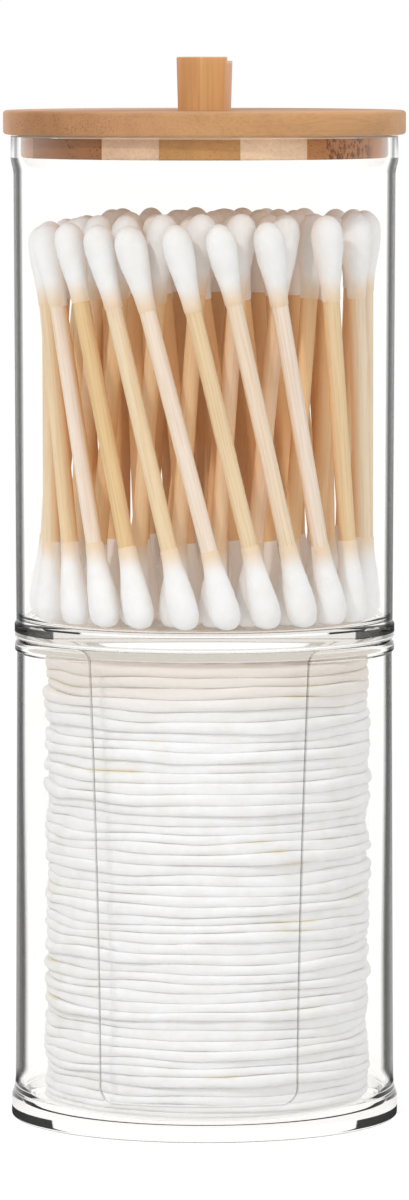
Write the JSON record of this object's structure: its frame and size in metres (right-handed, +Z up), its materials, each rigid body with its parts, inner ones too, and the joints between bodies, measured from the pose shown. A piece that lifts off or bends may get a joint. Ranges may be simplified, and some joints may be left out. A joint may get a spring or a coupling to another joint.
{
  "type": "cotton swab and pad organizer",
  "caption": "Two stacked clear cups with a bamboo lid: swabs stand in the upper cup, round cotton pads lie in the lower one behind an open front slot.",
  "frame": {"origin": "centre of the lower cup's underside, on the surface it stands on", "axes": "+Z up through the stack's axis, -Y towards the front slot, +X to the right seen from the front"},
  "size_m": [0.0706, 0.0706, 0.1865],
  "materials": {
    "clear_acrylic": "clear polished",
    "bamboo": "satin sanded bamboo",
    "stick_bamboo": "raw bamboo",
    "swab_cotton": "wound cotton",
    "pad_cotton": "pressed cotton"
  },
  "bodies": {
    "lower": {"lower_cup": "clear_acrylic", "cotton_pad_01": "pad_cotton", "cotton_pad_02": "pad_cotton", "cotton_pad_03": "pad_cotton", "cotton_pad_04": "pad_cotton", "cotton_pad_05": "pad_cotton", "cotton_pad_06": "pad_cotton", "cotton_pad_07": "pad_cotton", "cotton_pad_08": "pad_cotton", "cotton_pad_09": "pad_cotton", "cotton_pad_10": "pad_cotton", "cotton_pad_11": "pad_cotton", "cotton_pad_12": "pad_cotton", "cotton_pad_13": "pad_cotton", "cotton_pad_14": "pad_cotton", "cotton_pad_15": "pad_cotton", "cotton_pad_16": "pad_cotton", "cotton_pad_17": "pad_cotton", "cotton_pad_18": "pad_cotton", "cotton_pad_19": "pad_cotton", "cotton_pad_20": "pad_cotton", "cotton_pad_21": "pad_cotton", "cotton_pad_22": "pad_cotton", "cotton_pad_23": "pad_cotton", "cotton_pad_24": "pad_cotton", "cotton_pad_25": "pad_cotton", "cotton_pad_26": "pad_cotton", "cotton_pad_27": "pad_cotton", "cotton_pad_28": "pad_cotton", "cotton_pad_29": "pad_cotton", "cotton_pad_30": "pad_cotton", "cotton_pad_31": "pad_cotton", "cotton_pad_32": "pad_cotton", "cotton_pad_33": "pad_cotton", "cotton_pad_34": "pad_cotton", "cotton_pad_35": "pad_cotton", "cotton_pad_36": "pad_cotton", "cotton_pad_37": "pad_cotton", "cotton_pad_38": "pad_cotton", "cotton_pad_39": "pad_cotton", "cotton_pad_40": "pad_cotton", "cotton_pad_41": "pad_cotton", "cotton_pad_42": "pad_cotton", "cotton_pad_43": "pad_cotton", "cotton_pad_44": "pad_cotton", "cotton_pad_45": "pad_cotton", "cotton_pad_46": "pad_cotton"},
    "upper": {"upper_cup": "clear_acrylic", "swab_sticks_ring_1": "stick_bamboo", "swab_sticks_ring_2": "stick_bamboo", "swab_sticks_ring_3": "stick_bamboo", "swab_sticks_ring_4": "stick_bamboo", "swab_sticks_ring_5": "stick_bamboo", "swab_buds_ring_1": "swab_cotton", "swab_buds_ring_2": "swab_cotton", "swab_buds_ring_3": "swab_cotton", "swab_buds_ring_4": "swab_cotton", "swab_buds_ring_5": "swab_cotton"},
    "lid": {"lid": "bamboo", "knob": "bamboo"}
  },
  "joints": [
    {"name": "upper_lift", "type": "slide", "parent": "lower", "child": "upper", "axis": [0, 0, 1], "range_m": [0, 0.05]},
    {"name": "lid_lift", "type": "slide", "parent": "upper", "child": "lid", "axis": [0, 0, 1], "range_m": [0, 0.05]}
  ]
}
